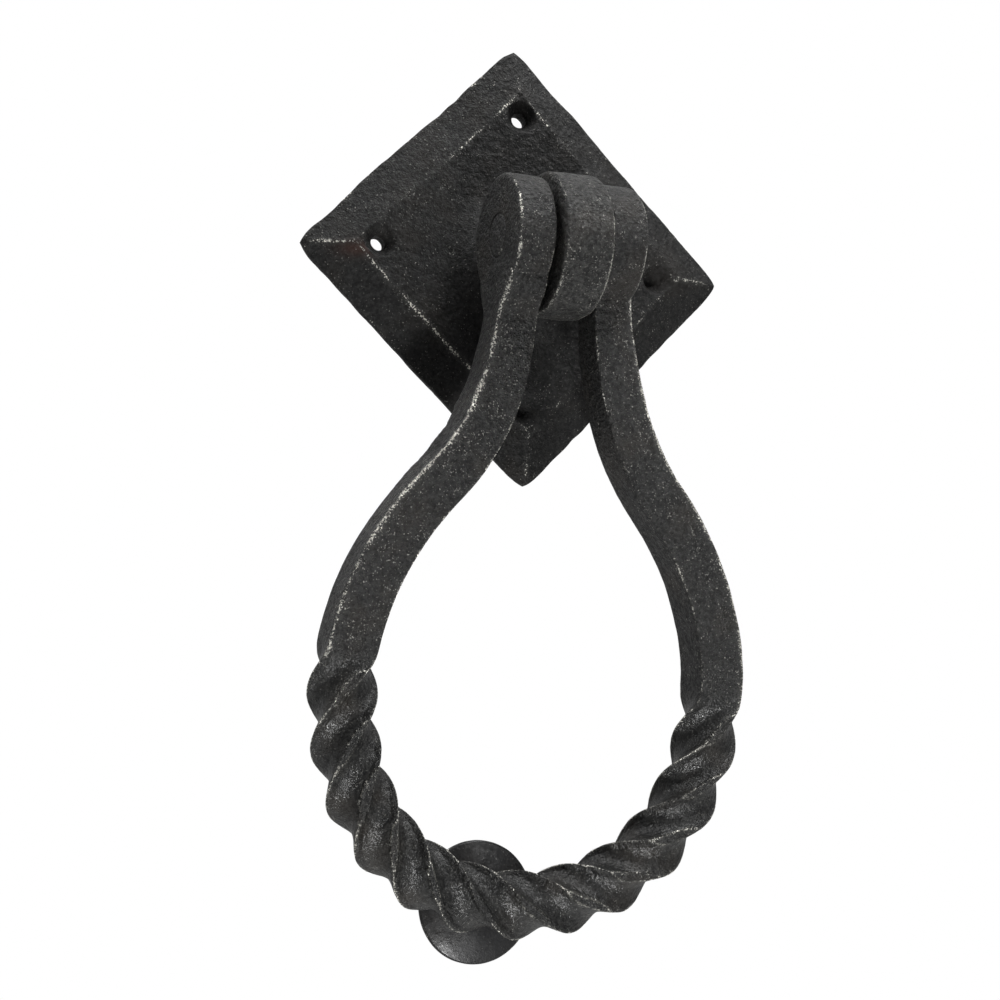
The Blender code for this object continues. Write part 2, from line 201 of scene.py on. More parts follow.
# Iron: each piece's colours and finish.
LOOKS = {
    "plate_iron": {
        "shift": 0, "dark": (0.0085, 0.0085, 0.0085), "light": (0.022, 0.022, 0.0215),
        "roughness": 0.62, "relief": 0.6, "gloss": 0.3, "specks": 0.5,
    },
    "lug_iron": {
        "shift": 40, "dark": (0.012, 0.012, 0.012), "light": (0.058, 0.058, 0.055),
        "roughness": 0.50, "relief": 1.3,
    },
    "ring_iron": {
        "shift": 80, "dark": (0.010, 0.010, 0.0102), "light": (0.039, 0.039, 0.0378),
        "roughness": 0.50, "relief": 1.25, "has_flats": True,
    },
    "pin_iron": {
        "shift": 120, "dark": (0.016, 0.016, 0.016), "light": (0.036, 0.035, 0.034), "roughness": 0.52,
    },
    # The stud's dark and light colours are its own dark iron, set lower still as painted shade for the
    # ring's shadow on its top.
    "stud_iron": {
        "shift": 160, "dark": (0.012, 0.012, 0.013), "light": (0.023, 0.023, 0.024),
        "roughness": 0.34, "relief": 0.06, "gloss": 0.42, "specks": 0.2,
    },
}
RUBBED_IRON = (0.85, 0.83, 0.76, 1)
HANDLED_IRON = (0.09, 0.09, 0.085, 1)
RUST = (0.055, 0.024, 0.017, 1)
BUMP_DEPTH = 0.85

# View.
VIEW_AZIMUTH = radians(-22.37)
VIEW_ELEVATION = radians(-7.76)
VIEW_ROLL = radians(0.98)
VIEW_DISTANCE = 409.06
VIEW_OFFSET = (-9.36, -4.91)
VIEW_LENS = 54.18

# Studio, in metres. Each softbox: its place from the knocker's middle, its size, and its power in watts.
SOFTBOXES = {
    "top_light": ((0.30, -0.26, 0.85), (0.6, 0.4), 5.8),
    "left_light": ((-0.50, -0.02, 0.85), (0.4, 0.4), 4.0),
    "front_light": ((0.50, -0.92, 0.35), (0.5, 0.5), 1.65),
    "low_light": ((-0.02, -0.52, -0.57), (0.12, 0.09), 3.1),
}
ROOM_LIGHT = {"From Min": -0.3, "From Max": 0.5, "To Min": 0.09, "To Max": 0.38}
FLOOR_DROP = 0.75
FLOOR_REACH = 2.8


# ---- noise and meshes ----


def lattice(cells, seed):
    """A repeatable random number from -1 to 1 for each whole-numbered cell."""
    x, y, z = (cells[..., i].astype(np.int64) & 0xFFFFFFFF for i in range(3))
    n = (x * 73856093) ^ (y * 19349663) ^ (z * 83492791) ^ (seed * 2654435761)
    n = (n & 0xFFFFFFFF).astype(np.uint64)
    n = ((n ^ (n >> np.uint64(13))) * np.uint64(1274126177)) & np.uint64(0xFFFFFFFF)
    n = ((n ^ (n >> np.uint64(15))) * np.uint64(2246822519)) & np.uint64(0xFFFFFFFF)
    return ((n >> np.uint64(8)) & np.uint64(0xFFFF)).astype(float) / 32767.5 - 1


def waves(points, size, seed):
    """Smooth noise, about -1 to 1, whose bumps are about size across."""
    scaled = np.asarray(points, float) / size
    base = np.floor(scaled)
    part = scaled - base
    part = part * part * (3 - 2 * part)
    total = 0
    for corner in np.ndindex(2, 2, 2):
        share = np.prod(np.where(corner, part, 1 - part), axis=-1)
        total = total + share * lattice(base + corner, seed)
    return total


def smooth(low, high, values):
    """0 at low, 1 at high, eased between."""
    t = np.clip((values - low) / (high - low), 0, 1)
    return t * t * (3 - 2 * t)


def grid_faces(rows, columns, round_rows=False, round_columns=False):
    """The quads of a grid of points that are numbered row by row."""
    r, c = np.meshgrid(
        np.arange(rows if round_rows else rows - 1),
        np.arange(columns if round_columns else columns - 1),
        indexing="ij",
    )
    r_next, c_next = (r + 1) % rows, (c + 1) % columns
    corners = (r * columns + c, r * columns + c_next, r_next * columns + c_next, r_next * columns + c)
    return np.stack(corners, -1).reshape(-1, 4)


def signed_volume(mesh, points):
    """Positive when the faces of a closed mesh look outward."""
    mesh.calc_loop_triangles()
    corners = np.empty(len(mesh.loop_triangles) * 3, np.int32)
    mesh.loop_triangles.foreach_get("vertices", corners)
    first, second, third = points[corners.reshape(-1, 3).T]
    return np.einsum("ij,ij", first, np.cross(second, third))


def new_object(name, points, faces, values):
    """A mesh object from points in millimetres, with its named per-point values."""
    mesh = bpy.data.meshes.new(name)
    points = np.asarray(points, float)
    mesh.from_pydata((points * MM).tolist(), [], [list(map(int, face)) for face in faces])
    if signed_volume(mesh, points) < 0:
        mesh.flip_normals()
    for key, numbers in values.items():
        attribute = mesh.attributes.new(key, "FLOAT", "POINT")
        attribute.data.foreach_set("value", np.asarray(numbers, np.float32))
    made = bpy.data.objects.new(name, mesh)
    bpy.context.scene.collection.objects.link(made)
    return made


def combine(target, other, operation):
    """Joins or cuts target with other, then takes other away."""
    boolean = target.modifiers.new(operation.title(), "BOOLEAN")
    boolean.object = other
    boolean.operation = operation
    boolean.solver = "MANIFOLD"
    bpy.context.view_layer.update()
    graph = bpy.context.evaluated_depsgraph_get()
    mesh = bpy.data.meshes.new_from_object(target.evaluated_get(graph))
    target.modifiers.clear()
    old = target.data
    target.data = mesh
    bpy.data.meshes.remove(old)
    bpy.data.objects.remove(other, do_unlink=True)


def drop_slivers(mesh):
    """Collapse the faces without area that a union can leave behind."""
    work = bmesh.new()
    work.from_mesh(mesh)
    bmesh.ops.dissolve_degenerate(work, dist=1e-6, edges=work.edges[:])
    work.to_mesh(mesh)
    work.free()


def points_of(mesh):
    flat = np.empty(len(mesh.vertices) * 3, np.float32)
    mesh.vertices.foreach_get("co", flat)
    return flat.reshape(-1, 3).astype(float) / MM


def move_points(mesh, points):
    mesh.vertices.foreach_set("co", (points * MM).astype(np.float32).ravel())


def normals_of(mesh):
    flat = np.empty(len(mesh.vertices) * 3, np.float32)
    mesh.vertex_normals.foreach_get("vector", flat)
    return flat.reshape(-1, 3).astype(float)


def hammer(obj, seed, coarse, fine, keep=None):
    """Moves the surface in and out a little, as hammer blows and scale leave it."""
    mesh = obj.data
    points = points_of(mesh)
    marks = ((9, coarse), (4.2, 0.45 * coarse), (1.7, fine), (0.9, 0.5 * fine))
    lift = sum(depth * waves(points, size, seed + i) for i, (size, depth) in enumerate(marks))
    if keep is not None:
        lift *= keep(points)
    points += normals_of(mesh) * lift[:, None]
    move_points(mesh, points)
    mesh.update()


def finish_mesh(obj, body, slot, *nodes):
    """Gives a piece its iron, ties it to its body, and hides the CAD nodes that it stands for."""
    obj.data.materials.clear()
    obj.data.materials.append(forged_iron(slot, **LOOKS[slot]))
    obj.data.shade_smooth()
    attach(obj, body)
    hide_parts(*nodes)


def lathe(profile, steps):
    """Points of an (x, radius) outline turned about the X axis, with each one's turn and radius."""
    angles = np.arange(steps) * 2 * pi / steps
    profile = np.asarray(profile, float)
    x = np.repeat(profile[:, 0], steps)
    radius = np.repeat(profile[:, 1], steps)
    turn = np.tile(angles, len(profile))
    points = np.stack([x, -radius * np.cos(turn), radius * np.sin(turn)], -1)
    return points, turn, radius


def dense(outline, step):
    """The outline with extra points, so that none are further apart than step."""
    found = []
    for (x0, y0), (x1, y1) in zip(outline, outline[1:]):
        count = max(1, round(sqrt((x1 - x0) ** 2 + (y1 - y0) ** 2) / step))
        found += [(x0 + (x1 - x0) * i / count, y0 + (y1 - y0) * i / count) for i in range(count)]
    return [*found, outline[-1]]


def rounded_corner(x, radius, way):
    """Points round the rim of a disc's face, whose outward side is way (-1 or 1)."""
    turns = [i * pi / 8 for i in range(5)]
    steps = [(RIM_ROUND * sin(turn), RIM_ROUND * (1 - cos(turn))) for turn in turns]
    return [(x - way * drop, radius - RIM_ROUND + out) for out, drop in steps]


def from_rounded_rim(x, radius, span, rim_radius):
    """Twice the distance from a disc's rounded rims, which run at each end of its span."""
    start, end = span
    from_rim = np.hypot(radius - rim_radius, np.minimum(x - start, end - x))
    return 2 * np.maximum(from_rim - RIM_ROUND_INSET, 0)


def plain_values(count):
    """The values of a surface with no arris near it."""
    return {"edge": np.full(count, NO_EDGE), "worn": np.zeros(count)}


# ---- back plate ----


def plate_height(u, v, x, z, centre):
    """How far the front stands off the door: edge, bevel, field and swept-up boss."""
    reach = np.maximum(np.abs(u), np.abs(v))
    side = PLATE_SIDE / 2
    height = PLATE_EDGE + (PLATE_FIELD - PLATE_EDGE) * np.clip((side - reach) / BEVEL_INSET, 0, 1)
    from_boss = np.hypot(x - centre[0], z - centre[1])
    rise = np.clip((BOSS_FOOT_RADIUS - from_boss) / (BOSS_FOOT_RADIUS - BOSS_TOP_RADIUS), 0, 1)
    return height + (BOSS_HEIGHT - PLATE_FIELD) * rise**2


def plate_lines(side):
    """Grid lines across the plate, with one on each crease of the bevel."""
    crease = side - BEVEL_INSET
    stops = [(-side, 0), (-crease, 0), (crease, 0), (side, 0)]
    return np.array([x for x, _ in dense(stops, PLATE_STEP)])


def make_plate():
    """The plate on its corner, with its boss, four screw holes and the tenon's hole."""
    side = PLATE_SIDE / 2
    lines = plate_lines(side)
    u, v = (grid.ravel() for grid in np.meshgrid(lines, lines, indexing="ij"))
    x, z = plate_places(u, v, side)
    height = plate_height(u, v, x, z, (KNUCKLE_MIDDLE, HINGE[2]))
    front = np.stack([x, -height, z], -1)
    back = np.stack([x, np.zeros_like(x), z], -1)
    reach = np.maximum(np.abs(u), np.abs(v))
    short = np.minimum(np.abs(u), np.abs(v))
    crease = np.abs(reach - (side - BEVEL_INSET))
    hip = np.where(reach > side - BEVEL_INSET, (reach - short) / sqrt(2), np.inf)
    arris = np.clip(side - reach, 0, None)
    rusty = -(((x - RUST_PLACE[0]) / RUST_SIZE[0]) ** 2) - ((z - RUST_PLACE[1]) / RUST_SIZE[1]) ** 2
    plate = new_object("forged_plate", np.concatenate([front, back]), plate_faces(len(lines)), {
        "edge": np.concatenate([np.minimum(np.minimum(crease, hip), arris), arris + PLATE_EDGE]),
        "worn": np.concatenate([plate_wear(u, v, crease, hip, arris), 0 * u]),
        "rust": np.tile(np.exp(rusty), 2),
    })
    for number, angle in enumerate(SCREW_ANGLES):
        place = (SCREW_CIRCLE_RADIUS * cos(radians(angle)), SCREW_CIRCLE_RADIUS * sin(radians(angle)))
        combine(plate, screw_cutter(place, number), "DIFFERENCE")
    combine(plate, tenon_cutter(), "DIFFERENCE")
    hammer(plate, seed=11, coarse=0.16, fine=0.045)
    return plate


def plate_places(u, v, side):
    """Where each grid point lies on the door: sides a little uneven, and corners blunted."""
    flat = np.stack([u, v, np.zeros_like(u)], -1)
    loose = 1 - 0.5 * smooth(BEVEL_INSET, 0, side - np.maximum(np.abs(u), np.abs(v)))
    wobble = loose[:, None] * np.stack([waves(flat, 15, 3), waves(flat, 15, 5)], -1) * PLATE_WAVE
    wobble += np.stack([waves(flat, 4, 7), waves(flat, 4, 8)], -1) * PLATE_RIPPLE
    u_seen = (u + wobble[:, 0]) * (1 + PLATE_SPREAD[0] / side)
    v_seen = (v + wobble[:, 1]) * (1 + PLATE_SPREAD[1] / side)
    to_corner = np.abs(u) + np.abs(v) - 2 * side + BLUNT_REACH
    blunt = CORNER_BLUNT * np.clip(to_corner / BLUNT_REACH, 0, 1) ** 2
    u_seen, v_seen = u_seen - blunt * np.sign(u), v_seen - blunt * np.sign(v)
    return (u_seen + v_seen) / sqrt(2), (v_seen - u_seen) / sqrt(2)


def plate_faces(count):
    """The front grid, the back grid after it, and the walls that join their rims."""
    size = count * count
    top = grid_faces(count, count)
    rim = np.concatenate([
        np.arange(count), np.arange(1, count) * count + count - 1,
        (count - 1) * count + np.arange(count - 2, -1, -1), np.arange(count - 2, 0, -1) * count,
    ])
    ahead = np.roll(rim, -1)
    walls = np.stack([rim, rim + size, ahead + size, ahead], -1)
    return [*top.tolist(), *(top[:, ::-1] + size).tolist(), *walls.tolist()]


def plate_wear(u, v, crease, hip, arris):
    """How much of each line on the plate is rubbed bright: most on the lower left crease."""
    level = np.abs(u + v) > np.abs(v - u)
    level_wear = np.where(u < 0, LEFT_CORNER_WEAR, RIGHT_CORNER_WEAR)
    worn = np.where(hip < LINE_REACH, np.where(level, level_wear, TOP_CORNER_WEAR), 0.0)
    worn = np.where(arris < LINE_REACH, PLATE_EDGE_WEAR, worn)
    patchy = waves(np.stack([u, v, 0 * u], -1), 12, 21)
    upper_left = UPPER_LEFT_WEAR + 0.3 * smooth(-10, 15, v) + 0.1 * patchy
    line = CREASE_WEAR + 0.2 * patchy
    line = np.where((v < 0) & (np.abs(v) > np.abs(u)), LOWER_LEFT_WEAR + 0.2 * patchy, line)
    line = np.where((u < 0) & (np.abs(u) > np.abs(v)), upper_left, line)
    return np.where(crease < LINE_REACH, np.maximum(line, worn), worn)


def turned_out(profile, steps, place, wobble=0.0, seed=0):
    """Points of a (height, radius) outline turned about an axis that points out of the door."""
    points, turn, radius = lathe(profile, steps)
    out = points[:, 0]
    ring = np.stack([np.cos(turn), np.sin(turn), out * 0], -1)
    radius = radius * (1 + wobble * waves(ring, 0.7, seed))
    x = place[0] + radius * np.cos(turn)
    z = place[1] + radius * np.sin(turn)
    return np.stack([x, -out, z], -1)


def solid_faces(rows, steps):
    """The side quads and two end faces of a turned outline that starts and ends off its axis."""
    sides = grid_faces(rows, steps, round_columns=True)
    first = list(range(steps))[::-1]
    last = list(range((rows - 1) * steps, rows * steps))
    return [*sides.tolist(), first, last]


def turned_solid(name, profile, steps, place, wobble=0.0, seed=0):
    """A solid turned from such an outline, with flat ends."""
    points = turned_out(profile, steps, place, wobble, seed)
    return new_object(name, points, solid_faces(len(profile), steps), plain_values(len(points)))


def screw_cutter(place, number):
    """The countersunk hole: rough round the rim, as it was punched and drilled by hand."""
    hole = SCREW_HOLE_RADII[number]
    profile = [
        (-OVERRUN, hole), (PLATE_FIELD - SCREW_SINK_DEPTH, hole),
        (PLATE_FIELD, SCREW_SINK_RADIUS), (PLATE_FIELD + OVERRUN, SCREW_SINK_RADIUS),
    ]
    profile = dense(profile, BLOCK_STEP)
    made = turned_solid("screw_cutter", profile, SCREW_SIDES, place, SCREW_RIM_WOBBLE, 31 + number)
    points = points_of(made.data)
    points[:, 0] += SCREW_HOLE_LEANS[number] * np.maximum(PLATE_FIELD + points[:, 1], 0)
    move_points(made.data, points)
    return made


def tenon_cutter():
    """The boss's hole for the tenon, wider behind for the riveted end."""
    hole, sink = TENON_RADIUS + HOLE_GAP, RIVET_RADIUS + HOLE_GAP
    profile = [(-OVERRUN, sink), (0, sink), (RIVET_DEPTH, hole), (BOSS_HEIGHT + OVERRUN, hole)]
    return turned_solid("tenon_cutter", profile, TENON_SIDES, (KNUCKLE_MIDDLE, HINGE[2]))


# ---- hinge lug ----


def make_lug():
    """The knuckle, its neck and the tenon riveted through the plate, as one forging."""
    start, end = KNUCKLE
    bore = PIN_RADIUS + HOLE_GAP
    outline = [(start, bore), *rounded_corner(start, KNUCKLE_RADIUS, -1)]
    outline += [*reversed(rounded_corner(end, KNUCKLE_RADIUS, 1)), (end, bore), (start, bore)]
    profile = dense(outline, TURNED_STEP)[:-1]
    points, _, radius = lathe(profile, KNUCKLE_SIDES)
    # Hang the rim a little below the bore, and beat its underside nearly flat.
    points[:, 2] -= KNUCKLE_DROP * smooth(bore, KNUCKLE_RADIUS, radius)
    floor = -KNUCKLE_FLAT - KNUCKLE_DROP
    points[:, 2] = np.where(points[:, 2] < floor, floor + 0.25 * (points[:, 2] - floor), points[:, 2])
    points += np.array(HINGE)
    faces = grid_faces(len(profile), KNUCKLE_SIDES, round_rows=True, round_columns=True)
    rim_wear = np.where(points[:, 0] > 0, KNUCKLE_WEAR[1], KNUCKLE_WEAR[0]) * (radius > KNUCKLE_WORN_BEYOND)
    lug = new_object("forged_lug", points, faces.tolist(), {
        "edge": from_rounded_rim(points[:, 0], radius, KNUCKLE, KNUCKLE_RADIUS),
        "worn": rim_wear + 0.3 * smooth(*KNUCKLE_UNDERSIDE, points[:, 2]),
    })
    combine(lug, neck_block(), "UNION")
    tenon = [(0, RIVET_RADIUS), (RIVET_DEPTH, TENON_RADIUS), (BOSS_HEIGHT + OVERRUN, TENON_RADIUS)]
    place = (KNUCKLE_MIDDLE, HINGE[2])
    combine(lug, turned_solid("tenon", dense(tenon, BLOCK_STEP), TENON_SIDES, place), "UNION")
    hammer(lug, seed=41, coarse=0.17, fine=0.05, keep=lug_freedom)
    return lug


def lug_freedom(points):
    """No hammering inside the bore, nor on the tenon in its hole."""
    from_pin = np.hypot(points[:, 1] - HINGE[1], points[:, 2] - HINGE[2])
    before_boss = smooth(-BOSS_HEIGHT, -BOSS_HEIGHT - 2, points[:, 1])
    free = smooth(PIN_RADIUS + 1, PIN_RADIUS + 3, from_pin) * before_boss
    side = np.minimum(points[:, 0] - KNUCKLE[0], KNUCKLE[1] - points[:, 0])
    rough = smooth(*KNUCKLE_UNDERSIDE, points[:, 2]) * smooth(0.2, 1.5, side)
    return free * smooth(-0.3, 1.0, side) * (1 + 1.3 * rough)


def neck_block():
    """The neck, from inside the knuckle back to the boss, as a box with a fine grid on it."""
    low = np.array([KNUCKLE[0] + NECK_INSET, HINGE[1] + NECK_START, HINGE[2] + NECK_BOTTOM])
    high = np.array([KNUCKLE[1] - NECK_INSET, -BOSS_HEIGHT - HOLE_GAP, HINGE[2] + NECK_TOP])
    points, faces = box_grid(low, high, BLOCK_STEP)
    return new_object("neck", points, faces, plain_values(len(points)))


def box_grid(low, high, step):
    """Points and quads of a box whose faces are divided into squares of about step."""
    count = np.maximum(1, np.round((high - low) / step)).astype(int)
    index, points, faces = {}, [], []

    def point(cell):
        if cell not in index:
            index[cell] = len(points)
            points.append(low + (high - low) * np.array(cell) / count)
        return index[cell]

    for axis in range(3):
        first, second = (axis + 1) % 3, (axis + 2) % 3
        for level in (0, count[axis]):
            for i in range(count[first]):
                for j in range(count[second]):
                    corners = []
                    for a, b in ((i, j), (i + 1, j), (i + 1, j + 1), (i, j + 1)):
                        cell = [0, 0, 0]
                        cell[axis], cell[first], cell[second] = int(level), int(a), int(b)
                        corners.append(point(tuple(cell)))
                    faces.append(corners if level else corners[::-1])
    return points, faces


# ---- ring ----


def bow_to_ring(point):
    """Leans the bow a little to one side, and shifts it under the hinge."""
    x = point.x * cos(BOW_LEAN) + point.y * sin(BOW_LEAN) + BOW_SHIFT
    y = -point.x * sin(BOW_LEAN) + point.y * cos(BOW_LEAN)
    return Vector((x, y))


def bow_knots():
    """Each knot of the bar's line with its two handles, from the left eye round to the right."""
    along = Vector((sin(SHOULDER_SLOPE), -cos(SHOULDER_SLOPE)))
    up = Vector((0, 1))
    across = Vector((BOTTOM_REACH, 0))
    right = [
        (SHOULDER, SHOULDER - SHOULDER_REACH_UP * along, SHOULDER + SHOULDER_REACH_DOWN * along),
        (BOW_WIDEST, BOW_WIDEST + WIDEST_REACH_UP * up, BOW_WIDEST - WIDEST_REACH_DOWN * up),
    ]
    flip = Vector((-1, 1))
    left = [tuple(point * flip for point in knot) for knot in right]
    rising = [(knot[0], knot[2], knot[1]) for knot in reversed(right)]
    bottom = (BOW_BOTTOM, BOW_BOTTOM - across, BOW_BOTTOM + across)
    knots = [tuple(bow_to_ring(point) for point in knot) for knot in [*left, bottom, *rising]]
    down = Vector((0, -EYE_REACH))
    left_eye = Vector((sum(LEFT_EYE) / 2, 0))
    right_eye = Vector((sum(RIGHT_EYE) / 2, 0))
    return [(left_eye, left_eye, left_eye + down), *knots, (right_eye, right_eye + down, right_eye)]


def bow_path():
    """Points of the bar's centre line, and the distance along it of each and of its bottom."""
    knots = bow_knots()
    points = []
    for (start, _, leaving), (end, arriving, _) in zip(knots, knots[1:]):
        points.extend(interpolate_bezier(start, leaving, arriving, end, 60)[:-1])
    points.append(knots[-1][0])
    points = np.array([tuple(point) for point in points])[:, :2]
    travelled = np.concatenate([[0], np.cumsum(np.hypot(*np.diff(points, axis=0).T))])
    return points, travelled, travelled[len(points) // 2]


def twist_at(along):
    """How far the bar has turned at each distance from the twist's start."""
    length = TWIST_BEFORE_BOTTOM + TWIST_AFTER_BOTTOM
    along = np.clip(along, 0, length)

    def eased(distance):
        part = np.minimum(distance / TWIST_EASE, 1)
        return TWIST_EASE * (part**3 - part**4 / 2) + np.maximum(distance - TWIST_EASE, 0)

    half = length / 2
    rising = eased(along) / (2 * eased(half))
    falling = 1 - eased(length - along) / (2 * eased(half))
    share = np.where(along <= half, rising, falling)
    return 2 * pi * TWIST_TURNS * share + TWIST_CROWDING * np.sin(pi * share)


def section_points():
    """Round the square: each point's corner-to-corner place from 0 to 4, denser at the corners."""
    places = []
    part = np.array([0, 0.02, 0.045, 0.08, 0.13, 0.19, 0.26, 0.34, 0.42, 0.5])
    one_side = np.concatenate([part, 1 - part[-2:0:-1]])
    for side in range(4):
        places.extend(side + one_side)
    return np.array(places)


def bar_stations():
    """Each station of the bar: distance, centre, sideways direction, turn, twistedness, half width."""
    path, travelled, bottom = bow_path()
    begin = BAR_TOP_BELOW_PIN
    distance = np.linspace(begin, travelled[-1] - begin, round((travelled[-1] - 2 * begin) / BAR_STEP))
    centre = np.stack([np.interp(distance, travelled, path[:, i]) for i in range(2)], -1)
    tangent = np.gradient(centre, axis=0)
    tangent /= np.linalg.norm(tangent, axis=1)[:, None]
    across = np.stack([-tangent[:, 1], tangent[:, 0]], -1)
    along = distance - (bottom - TWIST_BEFORE_BOTTOM)
    inside = np.minimum(along, TWIST_BEFORE_BOTTOM + TWIST_AFTER_BOTTOM - along)
    twisted = smooth(0, TWIST_EASE, inside)
    drawn = EYE_END_SCALE + (1 - EYE_END_SCALE) * smooth(0, FULL_BAR_BELOW, -centre[:, 1])
    half = BAR_WIDTH / 2 * (drawn + TWIST_SWELL * twisted)
    return distance, centre, across, twist_at(along), twisted, half


def square_sections(turn, twisted, half, place, from_corner):
    """Each station's square, as distances out of the ring and sideways.

    Its arrises are eased, and its faces are hollowed where the bar is twisted.
    """
    corner = np.floor(place)
    part = place - corner
    flat_a, flat_b = square_point(corner, part)
    dip = 1 - (VALLEY_DEPTH / (BAR_WIDTH / 2)) * twisted[:, None] * np.sin(pi * part)[None, :] ** 2
    ease = 1 - ARRIS_EASE * np.exp(-((from_corner / 0.8) ** 2))
    a = half[:, None] * flat_a[None, :] * dip * ease[None, :]
    b = half[:, None] * flat_b[None, :] * dip * ease[None, :]
    out = a * np.cos(turn)[:, None] + b * np.sin(turn)[:, None]
    side = b * np.cos(turn)[:, None] - a * np.sin(turn)[:, None]
    return out, side


def swell_arms(out, side, centre, twisted):
    """Widens the bar where it runs into its eyes, and along its lower arms."""
    near_eye = smooth(-EYE_RADIUS - 6, -EYE_RADIUS + 5, centre[:, 1])
    flare = near_eye * np.where(centre[:, 0] < 0, LEFT_FLARE, RIGHT_FLARE)
    low_arm = smooth(*LOW_ARM, centre[:, 1]) * (1 - twisted)
    swell = FLUSH_SWELL * near_eye + ARM_SWELL * low_arm
    return out * (1 + flare)[:, None], side * (1 + swell)[:, None]


def flatten_twist(out, side, distance, twisted):
    """Beats the twist's front and back nearly flat. The lens value is positive on the flats."""
    stage = np.stack([distance[:, None] + 0 * out, out, side], -1)
    release = FLAT_RELEASE * (1 - twisted[:, None])
    front = FRONT_FLAT + FLAT_WAVE * waves(stage, 14, 61) + release
    back = BACK_FLAT + release
    lens = np.where(out > 0, out - front, -out - back)
    lens = lens / slope_of(lens, out, side, distance)
    out = np.where(out > front, front + FLAT_CROWN * (out - front), out)
    out = np.where(out < -back, -back + FLAT_CROWN * (out + back), out)
    return out, lens


def slope_of(lens, out, side, distance):
    """How fast the lens measure changes over the bar's surface, for each millimetre."""
    along = np.gradient(lens, axis=0) / np.gradient(distance)[:, None]
    step = np.hypot(np.roll(out, -1, 1) - np.roll(out, 1, 1), np.roll(side, -1, 1) - np.roll(side, 1, 1))
    around = (np.roll(lens, -1, 1) - np.roll(lens, 1, 1)) / np.maximum(step, 0.01)
    return np.clip(np.hypot(along, around), 0.12, 1.0)


def square_point(corner, part):
    """A point on the square of half-width 1, going round from its corner at (1, 1)."""
    start_angle = pi / 4 + corner * pi / 2
    ax, ay = sqrt(2) * np.cos(start_angle), sqrt(2) * np.sin(start_angle)
    bx, by = sqrt(2) * np.cos(start_angle + pi / 2), sqrt(2) * np.sin(start_angle + pi / 2)
    return ax + (bx - ax) * part, ay + (by - ay) * part


def ring_to_world(x, up, out):
    """From the ring's plane to the frame: out is away from the door before the ring tilts."""
    y = -out * cos(REST_TILT) - up * sin(REST_TILT)
    z = -out * sin(REST_TILT) + up * cos(REST_TILT)
    return np.stack([x + HINGE[0], y + HINGE[1], z + HINGE[2]], -1)


def make_ring():
    """The drop-shaped bar, twisted round its bow, with an eye at each end."""
    distance, centre, across, turn, twisted, half = bar_stations()
    place = section_points()
    part = place - np.floor(place)
    from_corner = np.minimum(part, 1 - part) * BAR_WIDTH
    out, side = square_sections(turn, twisted, half, place, from_corner)
    out, side = swell_arms(out, side, centre, twisted)
    out, lens = flatten_twist(out, side, distance, twisted)
    x = centre[:, 0, None] + across[:, 0, None] * side
    up = centre[:, 1, None] + across[:, 1, None] * side
    points = ring_to_world(x, up, out).reshape(-1, 3)
    rows, columns = out.shape
    arris_wear = np.array(ARRIS_WEAR)[np.round(place).astype(int) % 4]
    wear = twisted[:, None] * TWIST_WEAR + (1 - twisted[:, None]) * arris_wear[None, :]
    # The most rubbed arris shines in a wider band, and the flats have no arris but their outline.
    ridge = np.where(wear > WIDE_BAND_WEAR, 0.6 * from_corner[None, :], from_corner[None, :])
    valley = twisted[:, None] * smooth(0.3, 2.5, from_corner)[None, :] * (lens < 0)
    bruised = scarred(points).reshape(out.shape)
    ring = new_object("forged_ring", points, solid_faces(rows, columns), {
        "edge": np.where(lens > 0, NO_EDGE, ridge).ravel(),
        "lens": lens.ravel(),
        "worn": ((wear + 0.1 * bruised) * (up < BAR_WORN_BELOW)).ravel(),
        "valley": valley.ravel(),
    })
    for span in (LEFT_EYE, RIGHT_EYE):
        combine(ring, ring_eye(span), "UNION")
    drop_slivers(ring.data)
    hammer(ring, seed=71, coarse=0.13, fine=0.045, keep=ring_freedom)
    return ring


def ring_eye(span):
    """The disc at one end of the bar, bored for the pin and opened outside for the pin's head."""
    start, end = span
    outer_is_start = abs(start) > abs(end)
    bore = PIN_RADIUS + HOLE_GAP
    head = PIN_HEAD_RADIUS + HEAD_GAP
    at_start, at_end = (head, bore) if outer_is_start else (bore, head)
    outline = [(start, at_start), *rounded_corner(start, EYE_RADIUS, -1)]
    outline += [*reversed(rounded_corner(end, EYE_RADIUS, 1)), (end, at_end)]
    if outer_is_start:
        outline += [(start + PIN_HEAD_DEPTH, bore), (start, at_start)]
    else:
        outline += [(end - PIN_HEAD_DEPTH, bore), (start, bore)]
    profile = dense(outline, TURNED_STEP)[:-1]
    points, _, radius = lathe(profile, EYE_SIDES)
    x, up = points[:, 0], points[:, 2]
    world = ring_to_world(x, up, -points[:, 1])
    faces = grid_faces(len(profile), EYE_SIDES, round_rows=True, round_columns=True)
    return new_object("eye", world, faces.tolist(), {
        "edge": from_rounded_rim(x, radius, span, EYE_RADIUS),
        "lens": np.full(len(x), -NO_EDGE),
        "worn": (EYE_WEAR + 0.35 * smooth(2, -8, up)) * (radius > EYE_WORN_BEYOND),
        "valley": 0 * x,
    })


def scarred(points):
    """Where the left arm's outer side was bruised and pitted on the anvil."""
    height = np.exp(-(((points[:, 2] - SCAR_HEIGHT) / SCAR_SPREAD) ** 2))
    return height * smooth(*SCAR_SIDE, points[:, 0])


def ring_freedom(points):
    """No hammering round the pin, and little on the faces that turn against the knuckle."""
    from_pin = np.hypot(points[:, 1] - HINGE[1], points[:, 2] - HINGE[2])
    bored = smooth(PIN_HEAD_RADIUS + 0.5, PIN_HEAD_RADIUS + 3, from_pin)
    inner = (points[:, 0] > LEFT_EYE[1] - 0.6) & (points[:, 0] < RIGHT_EYE[0] + 0.6)
    near = from_pin < KNUCKLE_RADIUS + 2
    return bored * np.where(inner & near, 0.15, 1.0) * (1 + SCAR_DEPTH * scarred(points))


# ---- pin and stud ----


